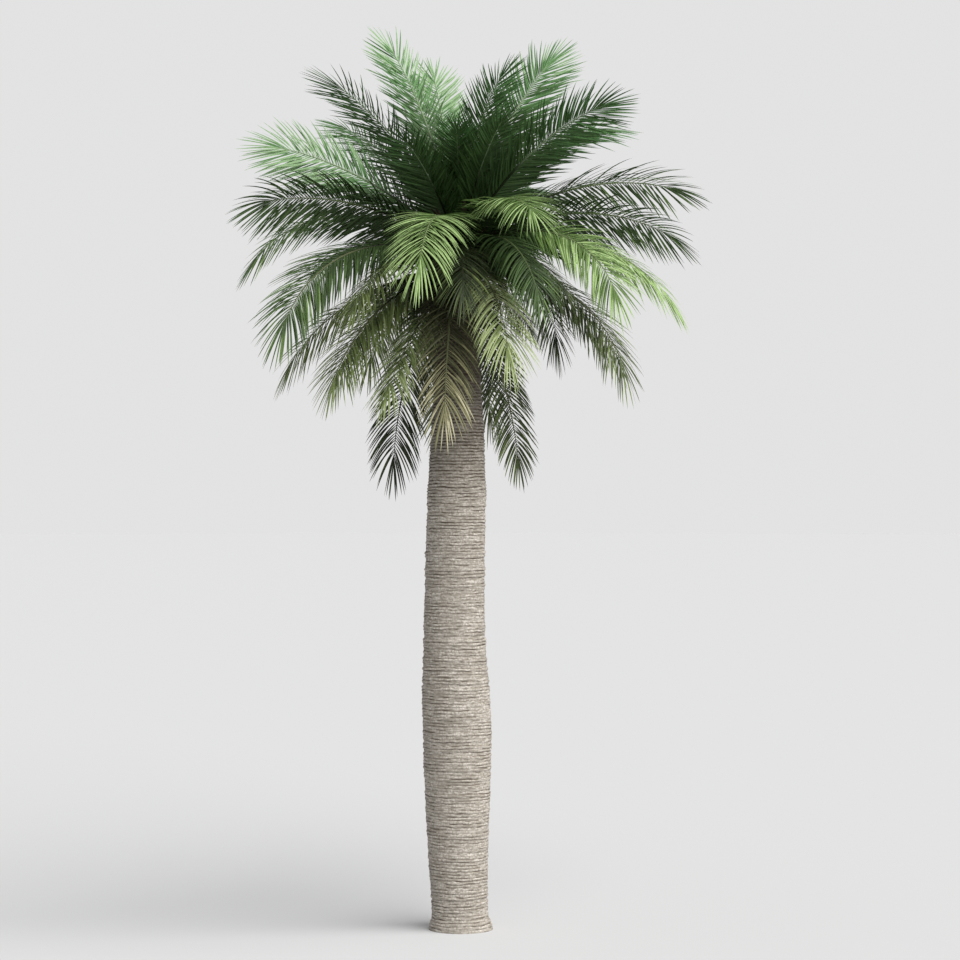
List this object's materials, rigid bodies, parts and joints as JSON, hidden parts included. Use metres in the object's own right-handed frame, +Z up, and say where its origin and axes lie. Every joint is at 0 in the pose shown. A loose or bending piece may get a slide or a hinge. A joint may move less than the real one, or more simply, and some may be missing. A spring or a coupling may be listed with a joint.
{
  "type": "feather palm tree",
  "caption": "Feather palm rooted in the ground, with a thick, slightly bellied ringed trunk and a round crown of arching feather fronds, the oldest hanging beside the trunk",
  "frame": {"origin": "the middle of the flat cut under the trunk, at ground level", "axes": "+Z up the trunk, -Y towards someone who looks at the front, +X to their right"},
  "size_m": [7.1666, 6.3797, 13.7257],
  "materials": {
    "bark": "matte",
    "leaf_young": "satin",
    "leaf_grown": "satin",
    "leaf_old": "satin"
  },
  "bodies": {
    "root": {"trunk": "bark", "frond_upright_1": "leaf_young", "frond_upright_2": "leaf_young", "frond_upright_3": "leaf_young", "frond_upright_4": "leaf_young", "frond_upright_5": "leaf_young", "frond_upper_1": "leaf_young", "frond_upper_2": "leaf_young", "frond_upper_3": "leaf_young", "frond_upper_4": "leaf_young", "frond_upper_5": "leaf_young", "frond_upper_6": "leaf_young", "frond_upper_7": "leaf_young", "frond_upper_8": "leaf_young", "frond_upper_9": "leaf_young", "frond_middle_1": "leaf_grown", "frond_middle_2": "leaf_grown", "frond_middle_3": "leaf_grown", "frond_middle_4_inner": "leaf_grown", "frond_middle_4_outer": "leaf_grown", "frond_middle_5_inner": "leaf_grown", "frond_middle_5_outer": "leaf_grown", "frond_middle_6_inner": "leaf_grown", "frond_middle_6_outer": "leaf_grown", "frond_middle_7_inner": "leaf_grown", "frond_middle_7_outer": "leaf_grown", "frond_middle_8_inner": "leaf_grown", "frond_middle_8_outer": "leaf_grown", "frond_middle_9_inner": "leaf_grown", "frond_middle_9_outer": "leaf_grown", "frond_middle_10": "leaf_grown", "frond_middle_11": "leaf_grown", "frond_middle_12": "leaf_grown", "frond_middle_13": "leaf_grown", "frond_middle_14": "leaf_grown", "frond_middle_15": "leaf_grown", "frond_middle_16": "leaf_grown", "frond_low_1_inner": "leaf_old", "frond_low_1_outer": "leaf_old", "frond_low_2_inner": "leaf_old", "frond_low_2_outer": "leaf_old", "frond_low_3_inner": "leaf_old", "frond_low_3_outer": "leaf_old", "frond_low_4": "leaf_old", "frond_low_5_inner": "leaf_old", "frond_low_5_outer": "leaf_old", "frond_low_6": "leaf_old", "frond_low_7": "leaf_old", "frond_low_8": "leaf_old", "frond_low_9": "leaf_old", "frond_low_10": "leaf_old", "frond_hanging_1_inner": "leaf_old", "frond_hanging_1_outer": "leaf_old", "frond_hanging_2": "leaf_old", "frond_hanging_3": "leaf_old", "frond_hanging_4": "leaf_old", "frond_hanging_5": "leaf_old", "frond_hanging_6": "leaf_old", "frond_hanging_7": "leaf_old"}
  },
  "joints": []
}
